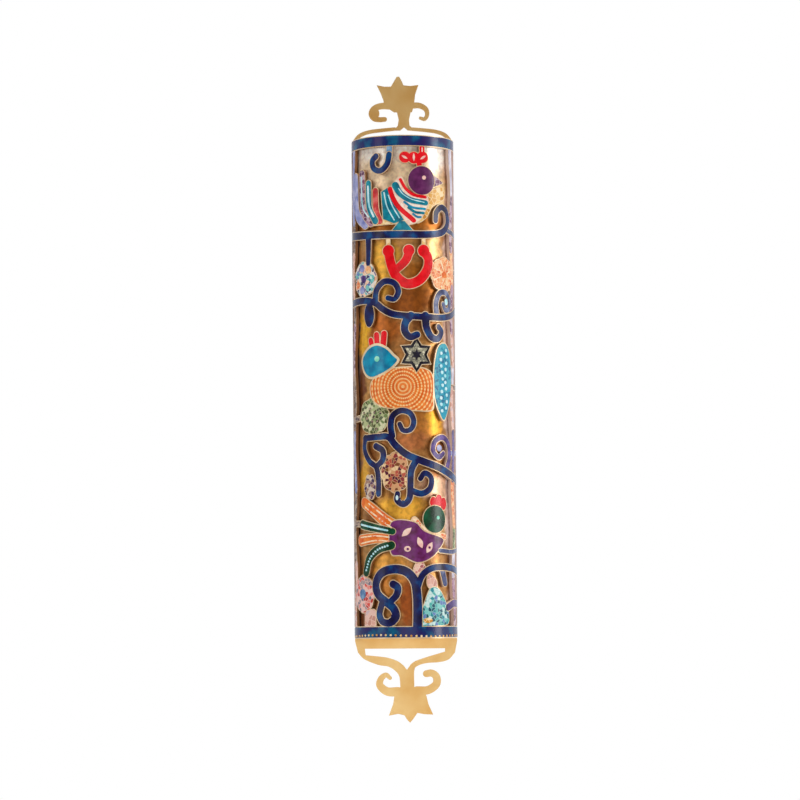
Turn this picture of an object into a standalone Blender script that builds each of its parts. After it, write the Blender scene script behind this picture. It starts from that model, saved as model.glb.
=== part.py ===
"""Mezuzah case: a cut brass back plate with a finial at each end, a polished half-tube on its front,
an enamelled openwork shell round the tube, and a sliding rear door for the rolled parchment inside.

The shell is drawn as flat outlines (u across the sheet, z up) and rolled to a half-tube.
The wall side is the plane y = 0, the front looks along -Y, and z = 0 is the shell's lower end."""

import math

import bmesh
import bpy
from mathutils import Vector
from mathutils.geometry import delaunay_2d_cdt

MM = 0.001
MERGE_MM = 4e-3  # points of an outline closer than this are one

LENGTH = 196.0  # of the shell, the tube and the plate's straight part
HALF_WIDTH = 20.0
PLATE_WALL = 1.2
GAP = 0.3  # between pieces that touch
AXIS_Y = -PLATE_WALL - GAP  # the half-tubes' axis, just in front of the plate

SHELL_RADIUS = 20.0
SHELL_WALL = 1.0
SHELL_STRIPS = 12
SHELL_TABS = (20.0, 92.0, 164.0)  # lower end of each tab
SHELL_TAB = 12.0
EDGE_STRIP = 2.2
TOP_BAND = 4.4
BOTTOM_BAND = 4.8

TUBE_RADIUS = 18.4
TUBE_WALL = 0.8
TUBE_STRIPS = 16
TUBE_TABS = (48.0, 128.0)
TUBE_TAB = 10.0
TAB_DEPTH = PLATE_WALL + GAP - 0.2  # tabs stop short of the wall face
TAB_PLAY = 0.3

CAP_RADIUS = TUBE_RADIUS - TUBE_WALL - GAP
CAP_WALL = 1.2

WINDOW_HALF = 8.0
WINDOW_Z = (22.0, 150.0)
DOOR_HALF = 10.0
DOOR_Z = (0.4, 153.0)
DOOR_WALL = 0.8
DOOR_FRONT = AXIS_Y - DOOR_WALL
FINGER_HOLE = (34.0, 3.5)  # height and radius
RAIL_Z = (3.0, 156.0)
RAIL_WALL = 0.9
RAIL_LIP = 1.3

SCROLL_LENGTH = 120.0
SCROLL_RADII = (2.4, 5.8)
SCROLL_TURNS = 3.2
SCROLL_WALL = 0.45
SCROLL_Y = -11.4


# Outlines. Each is a list of (across, up) points in millimetres.


def lerp(a, b, t):
    return a + (b - a) * t


def smooth(points, per=3, closed=False):
    """A smooth line through the points."""
    count = len(points)
    line = []
    for i in range(count if closed else count - 1):
        if closed:
            a, b, c, d = (Vector(points[(i + k - 1) % count]) for k in range(4))
        else:
            b, c = Vector(points[i]), Vector(points[i + 1])
            a = Vector(points[i - 1]) if i else 2 * b - c
            d = Vector(points[i + 2]) if i + 2 < count else 2 * c - b
        for step in range(per):
            t = step / per
            line.append(0.5 * (2 * b + (c - a) * t + (2 * a - 5 * b + 4 * c - d) * t**2
                               + (3 * b - a - 3 * c + d) * t**3))
    if not closed:
        line.append(Vector(points[-1]))
    return line


def blob(points, per=2):
    """A rounded outline through the points."""
    return smooth(points, per, closed=True)


def stroke(points, start, end=None, per=2, round_steps=3):
    """The outline of a brush stroke along the points, its width running from start to end."""
    end = start if end is None else end
    line = smooth(points, per)
    last = len(line) - 1
    left, right = [], []
    for i, point in enumerate(line):
        along = (line[min(i + 1, last)] - line[max(i - 1, 0)]).normalized()
        side = Vector((-along.y, along.x)) * lerp(start, end, i / last) / 2
        left.append(point + side)
        right.append(point - side)
    heads = []
    for tip, away in ((line[-1], line[-1] - line[-2]), (line[0], line[0] - line[1])):
        width = end if not heads else start
        turn = math.atan2(away.y, away.x)
        heads.append([tip + Vector((math.cos(turn + a), math.sin(turn + a))) * width / 2
                      for a in (math.pi / 2 - math.pi * k / (round_steps + 1)
                                for k in range(1, round_steps + 1))])
    return left + heads[0] + right[::-1] + heads[1]


def oval(u, z, a, b=None, count=16):
    b = a if b is None else b
    return [Vector((u + a * math.cos(math.tau * k / count), z + b * math.sin(math.tau * k / count)))
            for k in range(count)]


def bloom(u, z, a, b, petals, depth=0.5, per=4):
    """A flower outline: an oval with rounded petals."""
    count = petals * per
    outline = []
    for k in range(count):
        turn = math.tau * k / count
        reach = 1 - depth / a * (1 - abs(math.cos(petals * turn / 2)))
        outline.append(Vector((u + a * reach * math.cos(turn), z + b * reach * math.sin(turn))))
    return outline


def star(u, z, outer, inner, points):
    reach = (outer, inner)
    return [Vector((u + reach[k % 2] * math.sin(math.pi * k / points),
                    z + reach[k % 2] * math.cos(math.pi * k / points))) for k in range(2 * points)]


def leaf(start, end, width, per=5):
    """A pointed leaf from one tip to the other."""
    start, end = Vector(start), Vector(end)
    side = Vector((start.y - end.y, end.x - start.x)).normalized() * width / 2
    there = [start.lerp(end, k / per) + side * math.sin(math.pi * k / per) for k in range(per)]
    back = [end.lerp(start, k / per) - side * math.sin(math.pi * k / per) for k in range(per)]
    return there + back


def box(low_u, low_z, high_u, high_z):
    return [Vector(p) for p in ((low_u, low_z), (high_u, low_z), (high_u, high_z), (low_u, high_z))]


def rounded_box(low_u, low_z, high_u, high_z, radius, per=3):
    corners = ((high_u, high_z, 0), (low_u, high_z, 1), (low_u, low_z, 2), (high_u, low_z, 3))
    outline = []
    for u, z, quarter in corners:
        centre = Vector((u - math.copysign(radius, u - low_u - 1e-6),
                         z - math.copysign(radius, z - low_z - 1e-6)))
        for k in range(per + 1):
            turn = math.pi / 2 * (quarter + k / per)
            outline.append(centre + Vector((math.cos(turn), math.sin(turn))) * radius)
    return outline


# The openwork, from the top down.


def top_register():
    """A hanging scroll, a striped bird with a fan tail, and the branch it stands on."""
    return [
        stroke([(-5.1, 193.5), (-5.3, 187.4)], 2.8),
        stroke([(-5.3, 188.4), (-6.2, 184.6), (-9.0, 182.2), (-12.0, 183.4), (-12.6, 186.2),
                (-10.9, 188.0)], 2.8, 3.0),
        oval(0.9, 187.2, 2.5),
        oval(4.4, 187.0, 2.6),
        oval(8.0, 187.3, 2.6),
        stroke([(7.8, 188.5), (7.8, 192.8)], 2.6),
        stroke([(6.4, 186.0), (7.0, 182.5)], 2.6),
        oval(7.7, 178.2, 5.9),
        [Vector(p) for p in ((12.2, 181.2), (18.6, 177.8), (12.0, 175.2))],
        blob([(-5.2, 174.2), (-3.6, 177.6), (-0.4, 179.8), (3.0, 173.2), (9.8, 172.4),
              (10.2, 168.0), (5.8, 161.6), (-1.6, 160.6), (-6.6, 164.0)]),
        blob([(9.2, 172.4), (12.8, 175.0), (17.6, 176.2), (19.2, 172.4), (16.0, 169.8),
              (12.4, 168.0), (9.4, 163.4), (5.6, 161.4), (8.8, 167.4)]),
        [Vector(p) for p in ((-9.0, 174.0), (-5.8, 175.8), (-4.0, 170.4), (0.8, 162.4),
                             (-3.6, 161.0), (-8.2, 163.0))],
        stroke([(-9.4, 162.4), (-11.0, 167.0), (-11.3, 174.4)], 3.0),
        stroke([(-11.4, 162.6), (-14.4, 168.4), (-14.7, 177.6)], 3.2),
        stroke([(-13.6, 162.2), (-17.8, 168.0), (-18.4, 181.6)], 3.8),
        stroke([(-16.6, 161.8), (-22.4, 167.0), (-23.4, 180.6)], 4.4),
        stroke([(-23.6, 173.0), (-29.6, 172.4)], 2.6),
        stroke([(-3.0, 162.0), (-9.0, 161.8), (-16.5, 161.8)], 2.2),
        [Vector(p) for p in ((-5.4, 157.6), (-1.4, 162.6), (0.8, 162.4), (5.0, 157.6))],
        stroke([(-29.6, 158.2), (-22.0, 157.6), (-14.0, 157.2), (0.0, 156.9), (10.0, 157.1),
                (17.2, 158.4), (20.8, 161.8), (20.4, 166.4), (17.2, 168.2), (14.3, 166.2),
                (13.8, 162.8)], 3.6, 2.8),
        stroke([(19.6, 159.6), (29.6, 158.0)], 2.4),
    ]


def letter_register():
    """The letter, a rosette and a small flower."""
    return [
        stroke([(-14.9, 156.8), (-14.9, 152.0), (-15.1, 146.4)], 3.4, 2.8),
        stroke([(-5.9, 150.4), (-4.7, 145.0), (-2.6, 140.4), (1.6, 137.6), (6.4, 139.2),
                (9.7, 143.4), (10.2, 147.6), (8.4, 150.2)], 4.2, 4.4),
        stroke([(2.3, 150.2), (0.8, 146.6), (-3.2, 142.8)], 4.0, 3.6),
        oval(-5.9, 150.6, 2.6),
        oval(2.2, 150.7, 2.5),
        oval(8.2, 150.6, 2.7),
        stroke([(-5.9, 151.0), (-5.9, 156.6)], 1.8),
        stroke([(8.2, 151.0), (8.2, 156.6)], 1.8),
        bloom(18.4, 141.8, 7.4, 7.2, 8),
        stroke([(24.6, 143.0), (29.6, 143.6)], 2.4),
        bloom(-17.6, 140.2, 7.0, 7.2, 7),
        stroke([(-22.6, 142.0), (-29.6, 142.6)], 2.6),
    ]


def middle_branch():
    """A branch with scrolls on both sides."""
    return [
        stroke([(-11.8, 130.6), (-11.0, 135.6), (-7.6, 138.7), (-3.6, 137.9), (-2.0, 134.6),
                (-3.6, 131.8), (-6.2, 132.2)], 3.1, 2.6),
        stroke([(-29.6, 131.4), (-18.0, 131.8), (-12.0, 130.6), (-8.4, 128.0), (-4.6, 126.0),
                (0.0, 125.2), (8.0, 124.8), (16.0, 124.8), (23.0, 126.0), (29.6, 128.4)], 3.2, 3.0),
        oval(-14.8, 126.0, 2.8, 5.0),
        stroke([(14.0, 125.6), (13.7, 130.4), (15.5, 134.2), (19.0, 134.8), (21.8, 132.4),
                (21.6, 128.8), (19.0, 128.0), (17.6, 130.2)], 3.0, 2.4),
        stroke([(2.8, 125.2), (0.7, 122.6), (0.4, 119.2), (2.4, 116.9), (5.2, 117.8)], 3.6, 3.2),
        stroke([(8.7, 125.2), (9.2, 120.6), (11.4, 117.0), (14.6, 116.6), (16.4, 119.2),
                (14.9, 121.2)], 3.8, 2.8),
        star(4.9, 110.0, 7.4, 4.6, 6),
    ]


def ringed_bird():
    """A bird with a round head, a ringed body and a long leaf for a tail."""
    return [
        stroke([(-13.2, 113.2), (-14.0, 116.0)], 2.8),
        stroke([(-10.9, 113.8), (-11.2, 118.0)], 2.9),
        stroke([(-8.4, 113.2), (-7.9, 118.3)], 3.0),
        blob([(-19.6, 108.6), (-16.2, 113.0), (-11.4, 114.8), (-7.0, 113.4), (-3.8, 110.4),
              (-1.7, 107.9), (-4.4, 104.6), (-9.0, 102.0), (-14.0, 100.8), (-18.0, 103.2)]),
        blob([(-14.2, 99.6), (-8.0, 104.2), (0.0, 105.4), (8.0, 105.0), (12.0, 102.0), (12.3, 94.0),
              (11.6, 88.4), (4.0, 88.0), (-3.0, 88.6), (-9.4, 89.8), (-14.0, 93.4)]),
        blob([(14.4, 113.6), (18.4, 115.2), (22.0, 111.6), (23.4, 104.0), (23.0, 97.0),
              (21.0, 89.6), (17.7, 84.4), (14.6, 87.6), (12.5, 93.0), (12.0, 100.0),
              (12.4, 107.0)]),
        stroke([(22.8, 98.0), (29.6, 98.0)], 2.4),
    ]


def lower_branch():
    """A branch with scrolls, a ring and three flowers."""
    return [
        bloom(-13.2, 86.4, 7.6, 7.4, 8),
        stroke([(-19.6, 86.0), (-29.6, 85.4)], 2.6),
        stroke([(-4.9, 78.4), (-5.4, 82.4), (-4.6, 86.2), (-1.4, 88.2), (2.2, 87.2), (3.6, 83.8),
                (2.2, 80.8), (-0.6, 80.6), (-1.9, 83.0)], 3.1, 2.4),
        stroke([(-17.6, 77.9), (-11.0, 78.2), (-6.4, 78.0), (-3.4, 74.6), (1.0, 71.0), (7.0, 68.6),
                (14.0, 66.4), (22.0, 63.6), (29.6, 61.4)], 3.0, 3.6),
        stroke([(-17.4, 78.2), (-17.8, 73.4), (-15.2, 69.0), (-11.8, 66.4), (-10.8, 61.6),
                (-10.8, 56.0)], 2.8, 2.8),
        stroke([(-11.8, 66.6), (-8.9, 69.2), (-8.9, 72.8), (-11.8, 74.6)], 2.8, 3.2),
        stroke([(19.0, 65.6), (21.0, 70.4), (20.2, 75.6), (16.8, 78.0), (12.8, 76.6), (11.7, 72.8),
                (14.4, 70.2), (17.0, 71.8)], 3.0, 2.4),
        stroke([(21.0, 72.0), (29.6, 72.4)], 2.4),
        bloom(-3.8, 64.2, 6.0, 8.2, 8),
        stroke([(4.8, 69.4), (2.5, 65.0), (2.1, 59.0), (1.7, 54.2), (-0.6, 51.8), (-3.1, 53.4),
                (-2.9, 56.0)], 3.2, 2.6),
        stroke([(2.2, 57.2), (6.6, 56.0), (10.2, 58.2), (10.7, 62.2), (7.9, 64.0), (6.1, 61.8)],
                3.1, 2.6),
        bloom(-15.0, 58.8, 3.4, 5.4, 6),
    ]


def spotted_bird():
    """A bird with a spotted body and four tail feathers."""
    return [
        oval(11.7, 52.6, 1.9, 2.5),
        oval(14.3, 53.4, 1.9, 2.7),
        oval(16.8, 52.2, 1.9, 2.7),
        oval(12.4, 46.1, 5.6),
        blob([(-5.8, 45.0), (3.4, 45.4), (8.0, 41.6), (16.6, 38.8), (15.2, 35.0), (10.4, 30.8),
              (4.6, 29.0), (-1.4, 31.6), (-6.0, 33.0)]),
        stroke([(3.6, 45.8), (6.6, 42.4), (10.8, 40.0), (17.2, 39.4)], 2.8),
        stroke([(-4.4, 43.4), (-9.0, 46.4), (-14.0, 50.2), (-18.2, 52.8)], 5.2, 4.6),
        stroke([(-5.0, 41.4), (-12.0, 42.8), (-19.6, 44.4)], 3.0, 4.0),
        stroke([(-5.0, 38.4), (-12.0, 38.9), (-20.8, 38.2)], 3.6, 4.8),
        stroke([(-5.6, 36.0), (-11.0, 34.6), (-15.6, 31.0), (-17.4, 25.8)], 3.8, 4.0),
        stroke([(-19.0, 44.6), (-29.6, 45.0)], 2.6),
        leaf((5.6, 31.0), (5.6, 22.2), 5.4),
        stroke([(14.8, 34.0), (22.0, 33.6), (29.6, 34.4)], 2.2),
    ]


def foot_tree():
    """A tree of scrolls with a flower on each side, standing on the lower band."""
    return [
        stroke([(4.4, 3.0), (4.6, 10.0), (4.4, 17.0), (3.4, 22.2), (0.2, 25.8), (-4.6, 26.8),
                (-9.6, 25.4), (-12.2, 21.6), (-11.5, 17.4), (-8.0, 14.3), (-4.8, 11.6), (-3.9, 8.4),
                (-6.0, 6.2)], 4.2, 3.6),
        stroke([(-5.0, 6.6), (-7.0, 6.0), (-9.6, 6.8), (-10.7, 9.4), (-10.0, 12.4), (-9.0, 15.4)],
                3.4, 3.2),
        stroke([(-6.6, 13.8), (-3.7, 16.6), (-3.1, 19.6), (-4.9, 21.0)], 3.0, 3.6),
        stroke([(4.6, 19.6), (6.6, 24.4), (10.4, 27.0), (16.0, 27.6), (22.0, 27.2), (29.6, 26.0)],
                3.0, 3.2),
        stroke([(15.8, 26.6), (17.4, 21.4)], 3.2),
        leaf((9.0, 25.4), (12.6, 17.4), 5.0),
        blob([(10.0, 19.6), (14.0, 19.4), (17.4, 15.0), (19.8, 10.4), (19.4, 5.6), (12.8, 4.6),
              (6.2, 4.8), (5.6, 8.6), (7.4, 14.4)]),
        stroke([(19.2, 12.0), (24.0, 13.6), (29.6, 13.4)], 3.4),
        bloom(-19.4, 17.4, 6.8, 7.6, 8),
        stroke([(-25.0, 17.0), (-29.6, 17.0)], 2.6),
        rounded_box(-18.6, 3.6, -12.2, 11.6, 1.4),
    ]


def side_vines():
    """A wavy vine beside each long edge."""
    vines = []
    for middle in (-26.2, 24.4):
        side = math.copysign(0.8, middle)
        heights = [lerp(3.0, 193.0, k / 32) for k in range(33)]
        line = [(middle + side * math.sin(z / 5.3), z) for z in heights]
        vines.append(stroke(line, 3.2, per=1))
    return vines


def shell_outlines():
    half = math.pi * SHELL_RADIUS / 2
    frame = [
        box(-half, 0.0, half, BOTTOM_BAND),
        box(-half, LENGTH - TOP_BAND, half, LENGTH),
        box(-half, 0.0, EDGE_STRIP - half, LENGTH),
        box(half - EDGE_STRIP, 0.0, half, LENGTH),
    ]
    for low in SHELL_TABS:
        frame.append(box(-half - TAB_DEPTH, low, EDGE_STRIP / 2 - half, low + SHELL_TAB))
        frame.append(box(half - EDGE_STRIP / 2, low, half + TAB_DEPTH, low + SHELL_TAB))
    return (frame + top_register() + letter_register() + middle_branch() + ringed_bird()
            + lower_branch() + spotted_bird() + foot_tree() + side_vines())


def tube_outlines():
    half = math.pi * TUBE_RADIUS / 2
    outlines = [box(-half, 0.0, half, LENGTH)]
    for low in TUBE_TABS:
        outlines.append(box(-half - TAB_DEPTH, low, 1.0 - half, low + TUBE_TAB))
        outlines.append(box(half - 1.0, low, half + TAB_DEPTH, low + TUBE_TAB))
    return outlines


# The back plate and its finials.


def lower_finial():
    """A window with a curved lower edge, a stem, two unlike scrolls and a three-pointed flower."""
    frame = ([Vector(p) for p in ((-20.0, 1.0), (-20.0, -1.0))]
             + smooth([(-18.9, -5.4), (-16.4, -8.0), (-11.1, -10.2), (-7.2, -10.9), (-4.6, -12.4),
                       (-2.8, -14.8), (-2.4, -19.0)])
             + smooth([(3.1, -19.0), (3.1, -12.6), (4.3, -10.8), (7.7, -9.7), (13.0, -9.3),
                       (16.6, -8.3), (19.1, -5.6)])
             + [Vector(p) for p in ((20.0, -1.0), (20.0, 1.0))])
    flower = [Vector(p) for p in ((-3.2, -19.0), (-4.9, -22.6), (-5.3, -25.6), (-7.0, -30.1),
                                  (-3.3, -29.4), (-0.9, -30.0), (0.1, -31.6), (1.3, -32.9),
                                  (2.6, -31.4), (4.2, -29.1), (7.0, -29.6), (10.4, -29.8),
                                  (8.6, -25.8), (7.8, -22.4), (5.0, -19.0))]
    window = ([Vector((15.2, -3.9)), Vector((-16.2, -3.9))]
              + smooth([(-15.9, -6.4), (-11.0, -6.9), (-7.0, -7.5), (-3.4, -8.8), (-1.2, -10.4)])
              + [Vector((0.25, -12.2))]
              + smooth([(1.8, -10.0), (3.6, -8.8), (7.0, -7.6), (11.0, -6.4), (15.2, -5.2)]))
    thin = stroke([(-3.4, -20.8), (-7.6, -20.6), (-10.4, -18.2), (-9.9, -15.6), (-8.0, -14.2),
                   (-6.4, -15.4)], 3.8, 1.5)
    thick = stroke([(4.0, -20.4), (8.4, -20.2), (11.6, -18.0), (11.8, -15.2), (10.0, -13.6),
                    (7.8, -13.8)], 3.4, 2.7)
    return [frame, flower, thin, thick], [window]


def upper_finial():
    """The same motif, squatter and turned over, on two thin arms over a narrow window."""
    arms = [stroke([(side * 19.3, -0.4), (side * 17.0, 2.6), (side * 13.4, 4.1),
                    (side * 8.4, 4.8), (side * 3.0, 5.3)], 1.6, 1.3) for side in (-1, 1)]
    stem = [Vector(p) for p in ((-3.5, 4.7), (-1.8, 6.5), (-1.4, 9.0), (-2.2, 12.6), (3.5, 12.6),
                                (2.7, 9.0), (2.9, 6.6), (5.0, 4.7), (2.2, 4.7), (0.7, 6.0),
                                (-0.8, 4.7))]
    flower = [Vector(p) for p in ((-3.2, 12.0), (-7.1, 14.6), (-7.4, 16.8), (-8.6, 20.0),
                                  (-10.0, 22.8), (-7.0, 22.2), (-4.4, 22.2), (-3.2, 24.2),
                                  (-2.1, 26.1), (-1.1, 26.2), (-0.1, 24.4), (0.6, 22.7),
                                  (3.3, 22.4), (6.5, 22.8), (5.2, 19.0), (4.7, 14.6), (3.9, 12.0))]
    thick = stroke([(-4.4, 14.4), (-8.2, 14.5), (-11.0, 13.5), (-12.2, 11.5), (-11.2, 9.6),
                    (-9.0, 9.1), (-6.9, 9.2)], 2.6, 1.8)
    bulge = oval(-11.0, 11.5, 2.0, 2.2)
    thin = stroke([(3.6, 14.6), (6.8, 14.6), (9.3, 13.2), (9.9, 11.0), (8.9, 9.2),
                   (7.2, 9.6)], 2.4, 1.2)
    outlines = arms + [stem, flower, thick, bulge, thin]
    return [[point + Vector((0.0, LENGTH)) for point in outline] for outline in outlines]


def plate_outlines():
    finial, finial_window = lower_finial()
    outlines = [box(-HALF_WIDTH, 0.0, HALF_WIDTH, LENGTH)] + finial + upper_finial()
    cuts = finial_window + [rounded_box(-WINDOW_HALF, WINDOW_Z[0], WINDOW_HALF, WINDOW_Z[1], 3.0)]
    for side in (-1, 1):
        for low in SHELL_TABS:
            edge = sorted((side * (SHELL_RADIUS - SHELL_WALL - TAB_PLAY), side * (HALF_WIDTH + 1.0)))
            cuts.append(box(edge[0], low - TAB_PLAY, edge[1], low + SHELL_TAB + TAB_PLAY))
        for low in TUBE_TABS:
            edge = sorted((side * (TUBE_RADIUS - TUBE_WALL - TAB_PLAY), side * (TUBE_RADIUS + TAB_PLAY)))
            cuts.append(box(edge[0], low - TAB_PLAY, edge[1], low + TUBE_TAB + TAB_PLAY))
    return outlines, cuts


# Solids.


def signed_area(outline):
    ends = zip(outline, [*outline[1:], outline[0]])
    return sum(a.x * b.y - b.x * a.y for a, b in ends) / 2


def slab(outlines, cuts=(), bends=()):
    """A bmesh of the outlines joined, less the cuts: flat, from w = 0 to w = 1, split at the bends."""
    points, edges, faces = [], [], []
    for outline in (*outlines, *cuts):
        first = len(points)
        points += outline if signed_area(outline) > 0 else outline[::-1]
        faces.append(list(range(first, len(points))))
    low = min(point.y for point in points) - 1
    high = max(point.y for point in points) + 1
    for across in bends:
        edges.append((len(points), len(points) + 1))
        points += [Vector((across, low)), Vector((across, high))]
    found = delaunay_2d_cdt(points, edges, faces, 0, MERGE_MM)
    mesh = bmesh.new()
    verts = [mesh.verts.new((*co, 0)) for co in found[0]]
    for corners, sources in zip(found[2], found[5]):
        if sources and max(sources) < len(outlines):
            mesh.faces.new([verts[i] for i in corners])
    bmesh.ops.delete(mesh, geom=[v for v in verts if not v.link_faces], context="VERTS")
    front = bmesh.ops.extrude_face_region(mesh, geom=mesh.faces[:])
    for item in front["geom"]:
        if isinstance(item, bmesh.types.BMVert):
            item.co.z = 1.0
    return mesh


def flat(front_y, wall):
    """Places a slab upright, its front face at front_y."""
    return lambda u, z, w: (u, front_y + wall * w, z)


def level(low_z, height):
    """Places a slab level, its outline read as x and y."""
    return lambda x, y, w: (x, y, low_z + height * w)


def rolled(radius, wall, strips):
    """Places a sheet round the axis, as flat strips between the bends; tabs run straight back."""
    half = math.pi * radius / 2

    def place(u, z, w):
        reach = radius - wall * w
        if abs(u) >= half:
            return math.copysign(reach, u), AXIS_Y + abs(u) - half, z
        whole, part = divmod((u + half) / (2 * half) * strips, 1)
        turns = [math.pi * (whole + k) / strips - math.pi / 2 for k in (0, 1)]
        x = lerp(math.sin(turns[0]), math.sin(turns[1]), part)
        y = lerp(math.cos(turns[0]), math.cos(turns[1]), part)
        return reach * x, AXIS_Y - reach * y, z

    return place


def bend_lines(radius, strips):
    half = math.pi * radius / 2
    return [half * (2 * k / strips - 1) for k in range(strips + 1)]


def material(name, colour, roughness, metallic):
    made = bpy.data.materials.new(name)
    made.use_nodes = True
    shader = made.node_tree.nodes["Principled BSDF"]
    shader.inputs["Base Color"].default_value = (*colour, 1)
    shader.inputs["Roughness"].default_value = roughness
    shader.inputs["Metallic"].default_value = metallic
    return made


def build(name, mesh, place, made, origin=(0.0, 0.0, 0.0)):
    """The object of a slab, with its origin at a point given in millimetres."""
    origin = Vector(origin) * MM
    for vert in mesh.verts:
        vert.co = Vector(place(*vert.co)) * MM - origin
    bmesh.ops.recalc_face_normals(mesh, faces=mesh.faces)
    data = bpy.data.meshes.new(name)
    mesh.to_mesh(data)
    mesh.free()
    data.materials.append(made)
    obj = bpy.data.objects.new(name, data)
    obj.location = origin
    case.objects.link(obj)
    return obj


def half_disc(radius, notch=None, count=20):
    """A cap's outline in x and y, with a notch (half width, depth) in its straight side."""
    outline = [Vector((-radius * math.cos(math.pi * k / count),
                       AXIS_Y - radius * math.sin(math.pi * k / count))) for k in range(count + 1)]
    if notch:
        half, depth = notch
        outline += [Vector((half, AXIS_Y)), Vector((half, AXIS_Y - depth)),
                    Vector((-half, AXIS_Y - depth)), Vector((-half, AXIS_Y))]
    return outline


def rail_outline(side):
    """An L section: a web beside the door and a lip in front of it."""
    inner = DOOR_HALF + GAP
    outer = inner + RAIL_WALL
    back = DOOR_FRONT - GAP
    front = back - RAIL_WALL
    section = ((inner, AXIS_Y), (outer, AXIS_Y), (outer, front), (DOOR_HALF - RAIL_LIP, front),
               (DOOR_HALF - RAIL_LIP, back), (inner, back))
    return [Vector((side * x, y)) for x, y in section]


def scroll_outline():
    steps = round(SCROLL_TURNS * 14)
    line = []
    for k in range(steps + 1):
        turn = math.tau * SCROLL_TURNS * k / steps
        radius = lerp(*SCROLL_RADII, k / steps)
        line.append((radius * math.cos(turn), SCROLL_Y + radius * math.sin(turn)))
    return stroke(line, SCROLL_WALL, per=1, round_steps=1)


for obj in list(bpy.data.objects):
    bpy.data.objects.remove(obj)
case = bpy.data.collections.new("mezuzah_case")
bpy.context.scene.collection.children.link(case)

cut_brass = material("cut_brass", (0.78, 0.56, 0.24), 0.34, 1.0)
polished_brass = material("polished_brass", (0.85, 0.56, 0.18), 0.16, 1.0)
enamelled_brass = material("enamelled_brass", (0.06, 0.12, 0.38), 0.22, 0.0)
parchment = material("parchment", (0.86, 0.76, 0.57), 0.8, 0.0)

plate, plate_cuts = plate_outlines()
build("back_plate", slab(plate, plate_cuts), flat(-PLATE_WALL, PLATE_WALL), cut_brass)
build("half_tube", slab(tube_outlines(), bends=bend_lines(TUBE_RADIUS, TUBE_STRIPS)),
      rolled(TUBE_RADIUS, TUBE_WALL, TUBE_STRIPS), polished_brass)
build("openwork_shell", slab(shell_outlines(), bends=bend_lines(SHELL_RADIUS, SHELL_STRIPS)),
      rolled(SHELL_RADIUS, SHELL_WALL, SHELL_STRIPS), enamelled_brass)

door_slot = (DOOR_HALF + GAP, DOOR_WALL + GAP)
build("bottom_cap", slab([half_disc(CAP_RADIUS, door_slot)]), level(0.0, CAP_WALL), polished_brass)
build("top_cap", slab([half_disc(CAP_RADIUS)]), level(LENGTH - CAP_WALL, CAP_WALL), polished_brass)
for name, side in (("rail_left", -1), ("rail_right", 1)):
    build(name, slab([rail_outline(side)]), level(RAIL_Z[0], RAIL_Z[1] - RAIL_Z[0]), cut_brass)

door_outline = rounded_box(-DOOR_HALF, DOOR_Z[0], DOOR_HALF, DOOR_Z[1], 0.8)
finger_hole = oval(0.0, *FINGER_HOLE, count=20)
build("rear_door", slab([door_outline], [finger_hole]), flat(DOOR_FRONT, DOOR_WALL), cut_brass,
      origin=(0.0, DOOR_FRONT, DOOR_Z[0]))
build("parchment_scroll", slab([scroll_outline()]), level(CAP_WALL + GAP, SCROLL_LENGTH), parchment,
      origin=(0.0, SCROLL_Y, CAP_WALL + GAP))
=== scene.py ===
"""The looks of the mezuzah case: a finely cut enamelled shell, brass and parchment, over the CAD frame."""

import math

import bmesh
import bpy
from mathutils import Matrix, Vector
from mathutils.geometry import delaunay_2d_cdt


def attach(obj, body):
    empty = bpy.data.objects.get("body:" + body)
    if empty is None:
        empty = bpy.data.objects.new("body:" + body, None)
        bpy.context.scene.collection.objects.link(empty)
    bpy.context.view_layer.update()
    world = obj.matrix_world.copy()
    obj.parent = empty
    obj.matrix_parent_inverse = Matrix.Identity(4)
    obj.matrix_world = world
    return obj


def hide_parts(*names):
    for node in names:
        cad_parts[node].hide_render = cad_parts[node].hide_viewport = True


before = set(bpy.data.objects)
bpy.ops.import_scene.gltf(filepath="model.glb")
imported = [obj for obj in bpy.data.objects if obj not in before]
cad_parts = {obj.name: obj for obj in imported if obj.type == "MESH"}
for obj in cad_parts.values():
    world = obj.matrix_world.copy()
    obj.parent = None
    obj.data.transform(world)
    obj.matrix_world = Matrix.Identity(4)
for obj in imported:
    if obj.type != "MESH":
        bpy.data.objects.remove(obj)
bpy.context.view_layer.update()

MM = 0.001
# Slabs: how near two points are joined, before and after the faces are made, and the width of a sliver.
MERGE_MM = 4e-3
CLOSE_MM = 0.11
SLIVER_MM = 5e-3
# The body in millimetres, with the numbers of part.py.
LENGTH = 196.0
HALF_WIDTH = 20.0
PLATE_WALL = 1.2
AXIS_Y = -1.5
SHELL_RADIUS = 20.0
SHELL_WALL = 1.0
HALF_SHEET = math.pi * SHELL_RADIUS / 2
TUBE_RADIUS = 18.4
TUBE_WALL = 0.8
BOTTOM_BAND = 4.8
TOP_BAND = 4.4
EDGE_STRIP = 2.2
TAB_DEPTH = 1.3
TAB_ROOT = 1.0
TAB_PLAY = 0.3
SHELL_TABS = (20.0, 92.0, 164.0)
SHELL_TAB = 12.0
TUBE_TABS = (48.0, 128.0)
TUBE_TAB = 10.0
WINDOW = (-8.0, 22.0, 8.0, 150.0)
WINDOW_CORNER = 3.0
VINE_MIDDLES = {-1: -26.2, 1: 24.4}
VINE_SWAY = 0.8
VINE_WAVE = 5.3
# The enamel.
RIM = 0.3  # bare metal left round each field
EDGE_RIM = 0.2  # the same along the straight edges
PAINT = 0.13  # height over the metal
SINK = 0.04  # depth in the metal
PEACH_FLOWER = (18.4, 141.8)
PASTEL_FLOWER = (-17.6, 140.2)
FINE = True


FOLD_SHARE = 0.97


def lerp(a, b, t):
    return a + (b - a) * t


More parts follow.
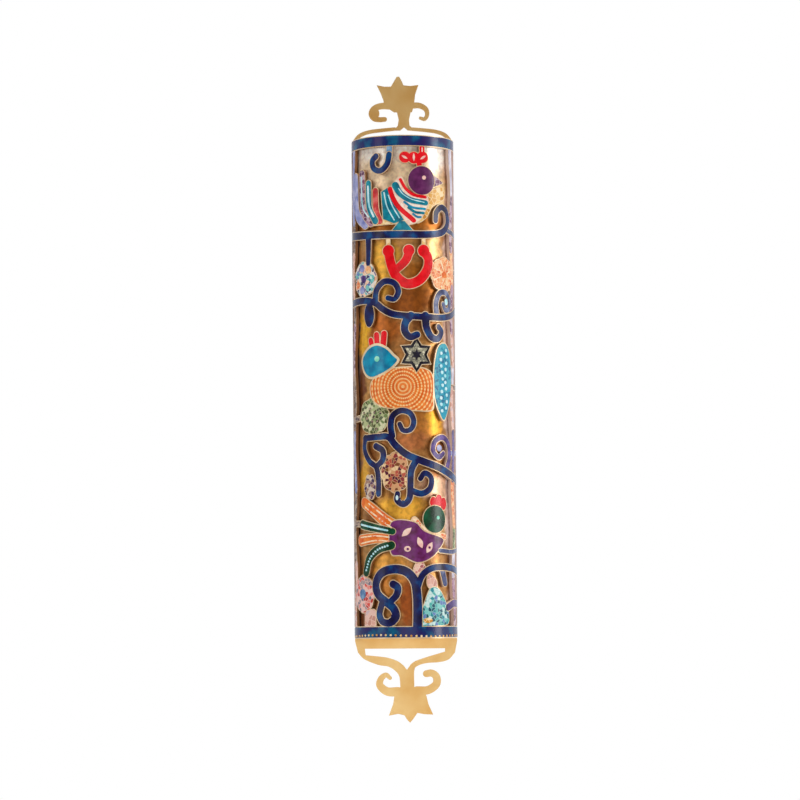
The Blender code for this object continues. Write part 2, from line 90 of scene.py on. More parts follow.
def smooth(points, per=6, closed=False):
    count = len(points)
    line = []
    for i in range(count if closed else count - 1):
        if closed:
            a, b, c, d = (Vector(points[(i + k - 1) % count]) for k in range(4))
        else:
            b, c = Vector(points[i]), Vector(points[i + 1])
            a = Vector(points[i - 1]) if i else 2 * b - c
            d = Vector(points[i + 2]) if i + 2 < count else 2 * c - b
        for step in range(per):
            t = step / per
            line.append(0.5 * (2 * b + (c - a) * t + (2 * a - 5 * b + 4 * c - d) * t**2
                               + (3 * b - a - 3 * c + d) * t**3))
    if not closed:
        line.append(Vector(points[-1]))
    return line


def blob(points):
    return smooth(points, closed=True)


def stroke(points, start, end=None, round_steps=7):
    """The outline of a round-ended stroke that is start wide at first and end wide at last."""
    end = start if end is None else end
    line = smooth(points)
    last = len(line) - 1
    left, right = [], []
    for i, point in enumerate(line):
        along = (line[min(i + 1, last)] - line[max(i - 1, 0)]).normalized()
        half = lerp(start, end, i / last) / 2
        side = Vector((-along.y, along.x)) * half
        # Where the line turns tightly, an edge would fold over the stroke itself.
        for row, edge in ((left, point + side), (right, point - side)):
            if min((edge - other).length for other in line) > FOLD_SHARE * half:
                row.append(edge)
    heads = []
    for tip, away, width in ((line[-1], line[-1] - line[-2], end), (line[0], line[0] - line[1], start)):
        turn = math.atan2(away.y, away.x)
        heads.append([tip + Vector((math.cos(turn + a), math.sin(turn + a))) * width / 2
                      for a in (math.pi / 2 - math.pi * k / (round_steps + 1)
                                for k in range(1, round_steps + 1))])
    return left + heads[0] + right[::-1] + heads[1]


def around(u, z, a, b, turn):
    """A point of an oval that is a and b in half width and height."""
    return u + a * math.cos(turn), z + b * math.sin(turn)


def oval(u, z, a, b=None, count=32):
    b = a if b is None else b
    return [Vector(around(u, z, a, b, math.tau * k / count)) for k in range(count)]


def bloom(u, z, a, b, petals, depth=0.5, per=8):
    count = petals * per
    outline = []
    for k in range(count):
        turn = math.tau * k / count
        reach = 1 - depth / a * (1 - abs(math.cos(petals * turn / 2)))
        outline.append(Vector(around(u, z, a * reach, b * reach, turn)))
    return outline


def star(u, z, outer, inner, points):
    reach = (outer, inner)
    return [Vector((u + reach[k % 2] * math.sin(math.pi * k / points),
                    z + reach[k % 2] * math.cos(math.pi * k / points))) for k in range(2 * points)]


def leaf(start, end, width, per=10):
    start, end = Vector(start), Vector(end)
    side = Vector((start.y - end.y, end.x - start.x)).normalized() * width / 2
    there = [start.lerp(end, k / per) + side * math.sin(math.pi * k / per) for k in range(per)]
    back = [end.lerp(start, k / per) - side * math.sin(math.pi * k / per) for k in range(per)]
    return there + back


def box(low_u, low_z, high_u, high_z):
    return [Vector(p) for p in ((low_u, low_z), (high_u, low_z), (high_u, high_z), (low_u, high_z))]


def rounded_box(low_u, low_z, high_u, high_z, radius, per=5):
    corners = ((high_u, high_z, 0), (low_u, high_z, 1), (low_u, low_z, 2), (high_u, low_z, 3))
    outline = []
    for u, z, quarter in corners:
        centre = Vector((u - math.copysign(radius, u - low_u - 1e-6),
                         z - math.copysign(radius, z - low_z - 1e-6)))
        for k in range(per + 1):
            turn = math.pi / 2 * (quarter + k / per)
            outline.append(centre + Vector((math.cos(turn), math.sin(turn))) * radius)
    return outline


def signed_area(outline):
    ends = zip(outline, [*outline[1:], outline[0]])
    return sum(a.x * b.y - b.x * a.y for a, b in ends) / 2


def inset(outline, by):
    """The outline moved inwards."""
    if signed_area(outline) < 0:
        outline = outline[::-1]
    count = len(outline)
    moved = []
    for i, point in enumerate(outline):
        before = (point - outline[i - 1]).normalized()
        after = (outline[(i + 1) % count] - point).normalized()
        normal = Vector((-before.y - after.y, before.x + after.x))
        if normal.length < 1e-6:
            normal = Vector((-before.y, before.x))
        normal.normalize()
        spread = max(0.5, normal.dot(Vector((-before.y, before.x))))
        moved.append(point + normal * by / spread)
    return moved


# The openwork: colours and outlines, in millimetres of the flat sheet, and the bare rim where it isn't RIM.

SHEET = [
    # a scroll, and a bird with a striped body over a branch
    ("steel", stroke([(-5.1, 193.5), (-5.3, 187.4)], 2.8)),
    ("navy", stroke([(-5.3, 188.4), (-6.2, 184.6), (-9.0, 182.2), (-12.0, 183.4), (-12.6, 186.2),
                     (-10.9, 188.0)], 2.8, 3.0)),
    ("red", oval(0.9, 187.2, 2.5)),
    ("red", oval(4.4, 187.0, 2.6)),
    ("red", oval(8.0, 187.3, 2.6)),
    ("red", stroke([(7.8, 188.5), (7.8, 192.8)], 2.6)),
    ("red", stroke([(6.4, 186.0), (7.0, 182.5)], 2.6)),
    ("purple", oval(7.7, 178.2, 5.9)),
    ("mauve", [Vector(p) for p in ((12.2, 181.2), (18.6, 177.8), (12.0, 175.2))]),
    ("shell_pink", blob([(-5.2, 174.2), (-3.6, 177.6), (-0.4, 179.8), (3.0, 173.2), (9.8, 172.4),
                         (10.2, 168.0), (5.8, 161.6), (-1.6, 160.6), (-6.6, 164.0)])),
    ("honey", blob([(9.2, 172.4), (12.8, 175.0), (17.6, 176.2), (19.2, 172.4), (16.0, 169.8), (12.4, 168.0),
                    (9.4, 163.4), (5.6, 161.4), (8.8, 167.4)])),
    ("teal", [Vector(p) for p in ((-9.0, 174.0), (-5.8, 175.8), (-4.0, 170.4), (0.8, 162.4), (-3.6, 161.0),
                                  (-8.2, 163.0))]),
    ("crimson", stroke([(-9.4, 162.4), (-11.0, 167.0), (-11.3, 174.4)], 3.0)),
    ("teal", stroke([(-11.4, 162.6), (-14.4, 168.4), (-14.7, 177.6)], 3.2)),
    ("mauve", stroke([(-13.6, 162.2), (-17.8, 168.0), (-18.4, 181.6)], 3.8)),
    ("lavender", stroke([(-16.6, 161.8), (-22.4, 167.0), (-23.4, 180.6)], 4.4)),
    ("umber", stroke([(-23.6, 173.0), (-29.6, 172.4)], 2.6)),
    ("honey", stroke([(-3.0, 162.0), (-9.0, 161.8), (-16.5, 161.8)], 2.2)),
    ("teal", [Vector(p) for p in ((-5.4, 157.6), (-1.4, 162.6), (0.8, 162.4), (5.0, 157.6))]),
    ("navy", stroke([(-29.6, 158.2), (-22.0, 157.6), (-14.0, 157.2), (0.0, 156.9), (10.0, 157.1),
                     (17.2, 158.4), (20.8, 161.8), (20.4, 166.4), (17.2, 168.2), (14.3, 166.2),
                     (13.8, 162.8)], 3.6, 2.8)),
    ("slate", stroke([(19.6, 159.6), (29.6, 158.0)], 2.4)),
    # the letter, a rosette and a small flower
    ("navy", stroke([(-14.9, 156.8), (-14.9, 152.0), (-15.1, 146.4)], 3.4, 2.8)),
    ("red", stroke([(-5.9, 150.4), (-4.7, 145.0), (-2.6, 140.4), (1.6, 137.6), (6.4, 139.2),
                    (9.7, 143.4), (10.2, 147.6), (8.4, 150.2)], 4.2, 4.4)),
    ("red", stroke([(2.3, 150.2), (0.8, 146.6), (-3.2, 142.8)], 4.0, 3.6)),
    ("red", oval(-5.9, 150.6, 2.6)),
    ("red", oval(2.2, 150.7, 2.5)),
    ("red", oval(8.2, 150.6, 2.7)),
    ("honey", stroke([(-5.9, 151.0), (-5.9, 156.6)], 1.8)),
    ("honey", stroke([(8.2, 151.0), (8.2, 156.6)], 1.8)),
    ("peach", bloom(*PEACH_FLOWER, 7.4, 7.2, 8)),
    ("umber", stroke([(24.6, 143.0), (29.6, 143.6)], 2.4)),
    ("pastel", bloom(*PASTEL_FLOWER, 7.0, 7.2, 7)),
    ("umber", stroke([(-22.6, 142.0), (-29.6, 142.6)], 2.6)),
    # a branch with scrolls on both sides
    ("navy", stroke([(-11.8, 130.6), (-11.0, 135.6), (-7.6, 138.7), (-3.6, 137.9), (-2.0, 134.6),
                     (-3.6, 131.8), (-6.2, 132.2)], 3.1, 2.6)),
    ("navy", stroke([(-29.6, 131.4), (-18.0, 131.8), (-12.0, 130.6), (-8.4, 128.0), (-4.6, 126.0),
                     (0.0, 125.2), (8.0, 124.8), (16.0, 124.8), (23.0, 126.0), (29.6, 128.4)], 3.2, 3.0)),
    ("navy", oval(-14.8, 126.0, 2.8, 5.0)),
    ("slate", stroke([(14.0, 125.6), (13.7, 130.4), (15.5, 134.2), (19.0, 134.8), (21.8, 132.4),
                      (21.6, 128.8), (19.0, 128.0), (17.6, 130.2)], 3.0, 2.4)),
    ("navy", stroke([(2.8, 125.2), (0.7, 122.6), (0.4, 119.2), (2.4, 116.9), (5.2, 117.8)], 3.6, 3.2)),
    ("navy", stroke([(8.7, 125.2), (9.2, 120.6), (11.4, 117.0), (14.6, 116.6), (16.4, 119.2),
                     (14.9, 121.2)], 3.8, 2.8)),
    ("black", star(4.9, 110.0, 7.4, 4.6, 6)),
    # a bird with a ringed body and a long leaf for a tail
    ("red", stroke([(-13.2, 113.2), (-14.0, 116.0)], 2.8)),
    ("red", stroke([(-10.9, 113.8), (-11.2, 118.0)], 2.9)),
    ("red", stroke([(-8.4, 113.2), (-7.9, 118.3)], 3.0)),
    ("cyan", blob([(-19.6, 108.6), (-16.2, 113.0), (-11.4, 114.8), (-7.0, 113.4), (-3.8, 110.4),
                   (-1.7, 107.9), (-4.4, 104.6), (-9.0, 102.0), (-14.0, 100.8), (-18.0, 103.2)]), 0.95),
    ("ringed", blob([(-14.2, 99.6), (-8.0, 104.2), (0.0, 105.4), (8.0, 105.0), (12.0, 102.0),
                     (12.3, 94.0), (11.6, 88.4), (4.0, 88.0), (-3.0, 88.6), (-9.4, 89.8),
                     (-14.0, 93.4)]), 0.5),
    ("aqua", blob([(14.4, 113.6), (18.4, 115.2), (22.0, 111.6), (23.4, 104.0), (23.0, 97.0), (21.0, 89.6),
                   (17.7, 84.4), (14.6, 87.6), (12.5, 93.0), (12.0, 100.0), (12.4, 107.0)]), 0.5),
    ("umber", stroke([(22.8, 98.0), (29.6, 98.0)], 2.4)),
    # a branch with scrolls, a ring and three flowers
    ("sage", bloom(-13.2, 86.4, 7.6, 7.4, 8)),
    ("umber", stroke([(-19.6, 86.0), (-29.6, 85.4)], 2.6)),
    ("navy", stroke([(-4.9, 78.4), (-5.4, 82.4), (-4.6, 86.2), (-1.4, 88.2), (2.2, 87.2), (3.6, 83.8),
                     (2.2, 80.8), (-0.6, 80.6), (-1.9, 83.0)], 3.1, 2.4)),
    ("navy", stroke([(-17.6, 77.9), (-11.0, 78.2), (-6.4, 78.0), (-3.4, 74.6), (1.0, 71.0), (7.0, 68.6),
                     (14.0, 66.4), (22.0, 63.6), (29.6, 61.4)], 3.0, 3.6)),
    ("navy", stroke([(-17.4, 78.2), (-17.8, 73.4), (-15.2, 69.0), (-11.8, 66.4), (-10.8, 61.6),
                     (-10.8, 56.0)], 2.8, 2.8)),
    ("navy", stroke([(-11.8, 66.6), (-8.9, 69.2), (-8.9, 72.8), (-11.8, 74.6)], 2.8, 3.2)),
    ("violet", stroke([(19.0, 65.6), (21.0, 70.4), (20.2, 75.6), (16.8, 78.0), (12.8, 76.6),
                       (11.7, 72.8), (14.4, 70.2), (17.0, 71.8)], 3.0, 2.4)),
    ("lavender", stroke([(21.0, 72.0), (29.6, 72.4)], 2.4)),
    ("rose", bloom(-3.8, 64.2, 6.0, 8.2, 8)),
    ("navy", stroke([(4.8, 69.4), (2.5, 65.0), (2.1, 59.0), (1.7, 54.2), (-0.6, 51.8), (-3.1, 53.4),
                     (-2.9, 56.0)], 3.2, 2.6)),
    ("navy", stroke([(2.2, 57.2), (6.6, 56.0), (10.2, 58.2), (10.7, 62.2), (7.9, 64.0),
                     (6.1, 61.8)], 3.1, 2.6)),
    ("plum", bloom(-15.0, 58.8, 3.4, 5.4, 6)),
    # a bird with a spotted body and four tail feathers
    ("red", oval(11.7, 52.6, 1.9, 2.5)),
    ("red", oval(14.3, 53.4, 1.9, 2.7)),
    ("red", oval(16.8, 52.2, 1.9, 2.7)),
    ("green", oval(12.4, 46.1, 5.6)),
    ("magenta", blob([(-5.8, 45.0), (3.4, 45.4), (8.0, 41.6), (16.6, 38.8), (15.2, 35.0), (10.4, 30.8),
                      (4.6, 29.0), (-1.4, 31.6), (-6.0, 33.0)]), 0.45),
    ("cream", stroke([(3.6, 45.8), (6.6, 42.4), (10.8, 40.0), (17.2, 39.4)], 2.8)),
    ("orange", stroke([(-4.4, 43.4), (-9.0, 46.4), (-14.0, 50.2), (-18.2, 52.8)], 5.2, 4.6)),
    ("green", stroke([(-5.0, 41.4), (-12.0, 42.8), (-19.6, 44.4)], 3.0, 4.0)),
    ("orange", stroke([(-5.0, 38.4), (-12.0, 38.9), (-20.8, 38.2)], 3.6, 4.8)),
    ("green", stroke([(-5.6, 36.0), (-11.0, 34.6), (-15.6, 31.0), (-17.4, 25.8)], 3.8, 4.0)),
    ("umber", stroke([(-19.0, 44.6), (-29.6, 45.0)], 2.6)),
    ("pink", leaf((5.6, 31.0), (5.6, 22.2), 5.4)),
    ("slate", stroke([(14.8, 34.0), (22.0, 33.6), (29.6, 34.4)], 2.2)),
    # a tree of scrolls with a flower on each side
    ("navy", stroke([(4.4, 3.0), (4.6, 10.0), (4.4, 17.0), (3.4, 22.2), (0.2, 25.8), (-4.6, 26.8),
                     (-9.6, 25.4), (-12.2, 21.6), (-11.5, 17.4), (-8.0, 14.3), (-4.8, 11.6),
                     (-3.9, 8.4), (-6.0, 6.2)], 4.2, 3.6)),
    ("navy", stroke([(-5.0, 6.6), (-7.0, 6.0), (-9.6, 6.8), (-10.7, 9.4), (-10.0, 12.4),
                     (-9.0, 15.4)], 3.4, 3.2)),
    ("navy", stroke([(-6.6, 13.8), (-3.7, 16.6), (-3.1, 19.6), (-4.9, 21.0)], 3.0, 3.6)),
    ("navy", stroke([(4.6, 19.6), (6.6, 24.4), (10.4, 27.0), (16.0, 27.6), (22.0, 27.2),
                     (29.6, 26.0)], 3.0, 3.2)),
    ("slate", stroke([(15.8, 26.6), (17.4, 21.4)], 3.2)),
    ("blush", leaf((9.0, 25.4), (12.6, 17.4), 5.0)),
    ("turquoise", blob([(10.0, 19.6), (14.0, 19.4), (17.4, 15.0), (19.8, 10.4), (19.4, 5.6), (12.8, 4.6),
                        (6.2, 4.8), (5.6, 8.6), (7.4, 14.4)])),
    ("violet", stroke([(19.2, 12.0), (24.0, 13.6), (29.6, 13.4)], 3.4)),
    ("coral", bloom(-19.4, 17.4, 6.8, 7.6, 8)),
    ("umber", stroke([(-25.0, 17.0), (-29.6, 17.0)], 2.6)),
    ("blush", rounded_box(-18.6, 3.6, -12.2, 11.6, 1.4)),
]

# A vine runs up beside each long edge: the colours of its lengths, from the bottom.
VINES = {
    -1: [(3.0, "blush"), (29.0, "umber"), (58.0, "lavender"), (80.0, "umber"), (104.0, "mauve"),
         (122.0, "umber"), (134.0, "blush"), (150.0, "umber"), (163.0, "lavender"), (193.0, None)],
    1: [(3.0, "mauve"), (22.0, "pearl"), (34.0, "sage"), (44.0, "peach"), (62.0, "violet"),
        (80.0, "blush"), (97.0, "pearl"), (107.0, "blush"), (120.0, "mauve"), (137.0, "peach"),
        (152.0, "mauve"), (172.0, "pearl"), (193.0, None)],
}
# The edge strips: umber on the left, and on the right a pale pearl that is a painted reflection of the
# glare along that edge.
SHEET += [(tone, box(low, 4.0, high, 192.4), EDGE_RIM)
          for tone, low, high in (("umber", -31.3, -29.3), ("pearl", 29.3, 31.3))]
for side, lengths in VINES.items():
    for (low, tone), (high, _) in zip(lengths, lengths[1:]):
        heights = [lerp(low, high, k / 4) for k in range(5)]
        line = [(VINE_MIDDLES[side] + side * VINE_SWAY * math.sin(z / VINE_WAVE), z) for z in heights]
        SHEET.append((tone, stroke(line, 3.0, 3.4), EDGE_RIM))

# Where fields meet, an earlier colour keeps its whole width and a later one stops at its edge.
ORDER = ["navy", "band", "purple", "green", "cyan", "red", "black", "steel", "slate", "violet", "magenta",
         "cream", "orange", "teal", "crimson", "mauve", "lavender", "shell_pink", "honey", "aqua", "ringed",
         "peach", "pastel", "sage", "rose", "plum", "pink", "turquoise", "coral", "blush", "umber", "pearl"]

# Small strokes and dots over the fields.
DETAILS = [
    ("red", stroke([(-0.9, 178.4), (1.2, 174.8), (4.4, 172.4), (9.0, 171.7)], 1.2)),
    ("teal", stroke([(-2.9, 176.2), (-1.0, 173.0), (3.0, 170.4), (9.2, 169.4)], 2.7, 2.0)),
    ("frost", stroke([(-1.6, 174.9), (0.2, 172.6), (3.6, 170.6), (8.4, 169.6)], 0.35)),
    ("cyan", stroke([(0.6, 169.6), (3.8, 167.5), (8.8, 167.0)], 0.9)),
    ("teal", stroke([(2.2, 167.4), (4.8, 165.7), (8.2, 165.4)], 1.0)),
    ("cyan", stroke([(4.0, 164.9), (5.6, 163.8), (7.0, 163.8)], 0.8)),
    ("red", stroke([(-5.0, 174.8), (-3.8, 171.2), (-1.2, 167.2), (4.2, 162.4)], 1.8)),
    ("frost", stroke([(-7.4, 173.6), (-6.2, 168.0), (-3.4, 162.6)], 0.45)),
    ("frost", stroke([(-5.6, 172.4), (-4.0, 168.0), (-1.4, 163.4)], 0.45)),
    ("frost", stroke([(-12.0, 164.4), (-14.2, 169.2), (-14.7, 176.4)], 0.8)),
    ("frost", stroke([(-14.6, 164.4), (-17.9, 169.2), (-18.4, 180.4)], 0.5)),
    ("blossom", oval(8.5, 179.3, 0.8)),
    ("blossom", leaf((-0.4, 187.9), (2.0, 186.5), 0.9)),
    ("blossom", leaf((4.4, 188.8), (4.4, 185.6), 0.9)),
    ("blossom", leaf((9.3, 188.0), (7.0, 186.4), 0.9)),
    ("blossom", stroke([(7.8, 189.6), (7.8, 191.0)], 0.5)),
    ("silver", star(4.9, 110.0, 5.3, 3.0, 6)),
    ("black", star(4.9, 110.0, 2.4, 1.1, 6)),
    ("mint", oval(-11.0, 108.6, 1.1)),
    ("mint", oval(13.7, 46.7, 0.7)),
    # The next three ovals are painted highlights: the frost one inside the slate loop, the lavender one
    # inside the violet spiral and the frost one on the navy hook.
    ("frost", oval(19.2, 131.2, 0.9, 1.3)),
    ("lavender", oval(14.6, 73.8, 1.3)),
    ("frost", oval(-3.1, 54.4, 0.5, 1.0)),
    ("blossom", leaf((2.4, 42.8), (-1.4, 39.4), 2.2)),
    ("blossom", leaf((4.8, 39.2), (6.6, 34.8), 2.2)),
    ("blossom", oval(0.8, 34.6, 1.3, 1.1)),
    ("magenta", oval(0.9, 34.5, 0.5)),
    ("blossom", leaf((10.8, 37.2), (8.4, 33.0), 2.4)),
    ("magenta", oval(9.6, 35.1, 0.5)),
    ("cream", stroke([(-5.4, 42.9), (-11.0, 46.9), (-17.4, 51.1)], 0.6)),
    ("cream", stroke([(-5.4, 45.3), (-10.4, 48.9), (-15.4, 52.4)], 0.6)),
    ("frost", stroke([(-7.0, 41.8), (-12.4, 42.9), (-20.0, 44.4)], 0.7)),
    ("cream", stroke([(-6.4, 39.2), (-12.0, 39.8), (-20.6, 39.4)], 0.55)),
    ("cream", stroke([(-6.4, 37.6), (-12.0, 38.0), (-20.4, 37.0)], 0.55)),
]
DETAILS += [("frost", oval(p.x, p.y, 0.42)) for p in
            smooth([(-7.0, 35.9), (-11.2, 34.4), (-15.0, 31.0), (-17.0, 26.6)], 4)]
DETAILS += [("cream", stroke([around(*PEACH_FLOWER, 2.2, 2.2, turn), around(*PEACH_FLOWER, 6.2, 6.0, turn)],
                             0.5)) for turn in (math.tau * (k + 0.5) / 8 for k in range(8))]
DETAILS += [("orange", oval(*PEACH_FLOWER, 1.3)), ("steel", oval(-19.6, 17.4, 2.0)),
            ("honey", oval(8.8, 6.9, 2.0, 1.0)), ("violet", oval(*PASTEL_FLOWER, 1.5))]
DETAILS += [(("turquoise", "peach", "lavender")[k % 3],
             oval(*around(*PASTEL_FLOWER, 4.3, 4.4, math.tau * k / 7), 1.5)) for k in range(7)]
DETAILS += [("umber", oval(*around(-13.6, 86.0, r, r, 2.4 * k), 0.5))
            for k, r in ((k, 0.9 + 0.42 * k) for k in range(11))]
DETAILS += [("honey", oval(u, 1.1 + 0.3 * math.sin(3.0 * u), 0.42)) for u in range(-28, 29, 2)]
DETAILS += [("frost", oval(17.4 + side * (1.2 + 0.5 * math.sin(k)), 89.0 + 2.5 * k + side * 0.6, 0.68))
            for k in range(10) for side in (-1, 1)]
# Colours whose strokes lie over other small strokes.
UPPERMOST = ("frost", "black", "magenta")


BANDS = [box(-HALF_SHEET, low, HALF_SHEET, high)
         for low, high in ((0.0, BOTTOM_BAND), (LENGTH - TOP_BAND, LENGTH))]


def shell_metal():
    """The shell's bands, straight edges and tabs."""
    boxes = [
        *BANDS,
        box(-HALF_SHEET, 0.0, EDGE_STRIP - HALF_SHEET, LENGTH),
        box(HALF_SHEET - EDGE_STRIP, 0.0, HALF_SHEET, LENGTH),
    ]
    for low in SHELL_TABS:
        boxes.append(box(-HALF_SHEET - TAB_DEPTH, low, EDGE_STRIP / 2 - HALF_SHEET, low + SHELL_TAB))
        boxes.append(box(HALF_SHEET - EDGE_STRIP / 2, low, HALF_SHEET + TAB_DEPTH, low + SHELL_TAB))
    return boxes


def tube_metal():
    half = math.pi * TUBE_RADIUS / 2
    outlines = [box(-half, 0.0, half, LENGTH)]
    for low in TUBE_TABS:
        outlines.append(box(-half - TAB_DEPTH, low, TAB_ROOT - half, low + TUBE_TAB))
        outlines.append(box(half - TAB_ROOT, low, half + TAB_DEPTH, low + TUBE_TAB))
    return outlines


def lower_finial():
    frame_outline = ([Vector(p) for p in ((-20.0, 1.0), (-20.0, -1.0))]
                     + smooth([(-18.9, -5.4), (-16.4, -8.0), (-11.1, -10.2), (-7.2, -10.9),
                               (-4.6, -12.4), (-2.8, -14.8), (-2.4, -19.0)])
                     + smooth([(3.1, -19.0), (3.1, -12.6), (4.3, -10.8), (7.7, -9.7), (13.0, -9.3),
                               (16.6, -8.3), (19.1, -5.6)])
                     + [Vector(p) for p in ((20.0, -1.0), (20.0, 1.0))])
    flower = [Vector(p) for p in ((-3.2, -19.0), (-4.9, -22.6), (-5.3, -25.6), (-7.0, -30.1),
                                  (-3.3, -29.4), (-0.9, -30.0), (0.1, -31.6), (1.3, -32.9),
                                  (2.6, -31.4), (4.2, -29.1), (7.0, -29.6), (10.4, -29.8),
                                  (8.6, -25.8), (7.8, -22.4), (5.0, -19.0))]
    window = ([Vector((15.2, -3.9)), Vector((-16.2, -3.9))]
              + smooth([(-15.9, -6.4), (-11.0, -6.9), (-7.0, -7.5), (-3.4, -8.8), (-1.2, -10.4)])
              + [Vector((0.25, -12.2))]
              + smooth([(1.8, -10.0), (3.6, -8.8), (7.0, -7.6), (11.0, -6.4), (15.2, -5.2)]))
    thin = stroke([(-3.4, -20.8), (-7.6, -20.6), (-10.4, -18.2), (-9.9, -15.6), (-8.0, -14.2),
                   (-6.4, -15.4)], 3.8, 1.5)
    thick = stroke([(4.0, -20.4), (8.4, -20.2), (11.6, -18.0), (11.8, -15.2), (10.0, -13.6),
                    (7.8, -13.8)], 3.4, 2.7)
    return [frame_outline, flower, thin, thick], [window]


def upper_finial():
    arms = [stroke([(side * 19.3, -0.4), (side * 17.0, 2.6), (side * 13.4, 4.1),
                    (side * 8.4, 4.8), (side * 3.0, 5.3)], 1.6, 1.3) for side in (-1, 1)]
    stem = [Vector(p) for p in ((-3.5, 4.7), (-1.8, 6.5), (-1.4, 9.0), (-2.2, 12.6), (3.5, 12.6),
                                (2.7, 9.0), (2.9, 6.6), (5.0, 4.7), (2.2, 4.7), (0.7, 6.0),
                                (-0.8, 4.7))]
    flower = [Vector(p) for p in ((-3.2, 12.0), (-7.1, 14.6), (-7.4, 16.8), (-8.6, 20.0),
                                  (-10.0, 22.8), (-7.0, 22.2), (-4.4, 22.2), (-3.2, 24.2),
                                  (-2.1, 26.1), (-1.1, 26.2), (-0.1, 24.4), (0.6, 22.7),
                                  (3.3, 22.4), (6.5, 22.8), (5.2, 19.0), (4.7, 14.6), (3.9, 12.0))]
    thick = stroke([(-4.4, 14.4), (-8.2, 14.5), (-11.0, 13.5), (-12.2, 11.5), (-11.2, 9.6),
                    (-9.0, 9.1), (-6.9, 9.2)], 2.6, 1.8)
    bulge = oval(-11.0, 11.5, 2.0, 2.2)
    thin = stroke([(3.6, 14.6), (6.8, 14.6), (9.3, 13.2), (9.9, 11.0), (8.9, 9.2),
                   (7.2, 9.6)], 2.4, 1.2)
    outlines = arms + [stem, flower, thick, bulge, thin]
    return [[point + Vector((0.0, LENGTH)) for point in outline] for outline in outlines]


def plate_metal():
    finial, finial_window = lower_finial()
    outlines = [box(-HALF_WIDTH, 0.0, HALF_WIDTH, LENGTH)] + finial + upper_finial()
    cuts = finial_window + [rounded_box(*WINDOW, WINDOW_CORNER)]
    for side in (-1, 1):
        for low in SHELL_TABS:
            edge = sorted((side * (SHELL_RADIUS - SHELL_WALL - TAB_PLAY), side * (HALF_WIDTH + 1.0)))
            cuts.append(box(edge[0], low - TAB_PLAY, edge[1], low + SHELL_TAB + TAB_PLAY))
        for low in TUBE_TABS:
            edge = sorted((side * (TUBE_RADIUS - TUBE_WALL - TAB_PLAY), side * (TUBE_RADIUS + TAB_PLAY)))
            cuts.append(box(edge[0], low - TAB_PLAY, edge[1], low + TUBE_TAB + TAB_PLAY))
    return outlines, cuts


# Meshes.

SHARP_FROM = math.radians(32)
BEVEL_FROM = math.radians(40)


def slab(outlines, cuts=(), bends=()):
    """A bmesh of the outlines joined, less the cuts: flat, from w = 0 to w = 1, split at the bends."""
    points, edges, faces = [], [], []
    for outline in (*outlines, *cuts):
        first = len(points)
        points += outline if signed_area(outline) > 0 else outline[::-1]
        faces.append(list(range(first, len(points))))
    own = [point for outline in outlines for point in outline]
    low, high = min(p.y for p in own) - 1, max(p.y for p in own) + 1
    left, right = min(p.x for p in own), max(p.x for p in own)
    for across in bends:
        if left < across < right:
            edges.append((len(points), len(points) + 1))
            points += [Vector((across, low)), Vector((across, high))]
    found = delaunay_2d_cdt(points, edges, faces, 0, MERGE_MM)
    mesh = bmesh.new()
    verts = [mesh.verts.new((*co, 0)) for co in found[0]]
    for corners, sources in zip(found[2], found[5]):
        if sources and max(sources) < len(outlines):
            mesh.faces.new([verts[i] for i in corners])
    bmesh.ops.delete(mesh, geom=[v for v in verts if not v.link_faces], context="VERTS")
    bmesh.ops.remove_doubles(mesh, verts=mesh.verts[:], dist=CLOSE_MM)
    bmesh.ops.dissolve_degenerate(mesh, dist=SLIVER_MM, edges=mesh.edges[:])
    front = bmesh.ops.extrude_face_region(mesh, geom=mesh.faces[:])
    for item in front["geom"]:
        if isinstance(item, bmesh.types.BMVert):
            item.co.z = 1.0
    return mesh


def flat(front_y, wall):
    return lambda u, z, w: (u, front_y + wall * w, z)


def rolled(radius, wall, strips, reference):
    """Places a sheet drawn for the reference radius at another one."""
    half = math.pi * reference / 2

    def place(u, z, w):
        reach = radius - wall * w
        if abs(u) >= half:
            return math.copysign(reach, u), AXIS_Y + abs(u) - half, z
        whole, part = divmod((u + half) / (2 * half) * strips, 1)
        turns = [math.pi * (whole + k) / strips - math.pi / 2 for k in (0, 1)]
        x = lerp(math.sin(turns[0]), math.sin(turns[1]), part)
        y = lerp(math.cos(turns[0]), math.cos(turns[1]), part)
        return reach * x, AXIS_Y - reach * y, z

    return place


def bend_lines(radius, strips):
    half = math.pi * radius / 2
    return [half * (2 * k / strips - 1) for k in range(strips + 1)]


def piece(name, mesh, place, made, body, bevel):
    """The object of a slab, with its flat coordinates kept as the attribute sheet."""
    flat_places = [vert.co.copy() for vert in mesh.verts]
    for vert in mesh.verts:
        vert.co = Vector(place(*vert.co)) * MM
    bmesh.ops.recalc_face_normals(mesh, faces=mesh.faces)
    for face in mesh.faces:
        face.smooth = True
    data = bpy.data.meshes.new(name)
    mesh.to_mesh(data)
    mesh.free()
    stored = data.attributes.new("sheet", "FLOAT_VECTOR", "POINT")
    for value, place_on_sheet in zip(stored.data, flat_places):
        value.vector = (place_on_sheet.x, place_on_sheet.y, 0.0)
    data.set_sharp_from_angle(angle=SHARP_FROM)
    data.materials.append(made)
    obj = bpy.data.objects.new(name, data)
    bpy.context.scene.collection.objects.link(obj)
    if FINE:
        rounding = obj.modifiers.new("edges", "BEVEL")
        rounding.width = bevel * MM
        rounding.segments = 2
        rounding.limit_method = "ANGLE"
        rounding.angle_limit = BEVEL_FROM
        rounding.harden_normals = True
    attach(obj, body)
    return obj


# Materials.


def srgb(red, green, blue):
    def linear(value):
        value /= 255
        return value / 12.92 if value <= 0.04045 else ((value + 0.055) / 1.055) ** 2.4
    return (linear(red), linear(green), linear(blue), 1.0)


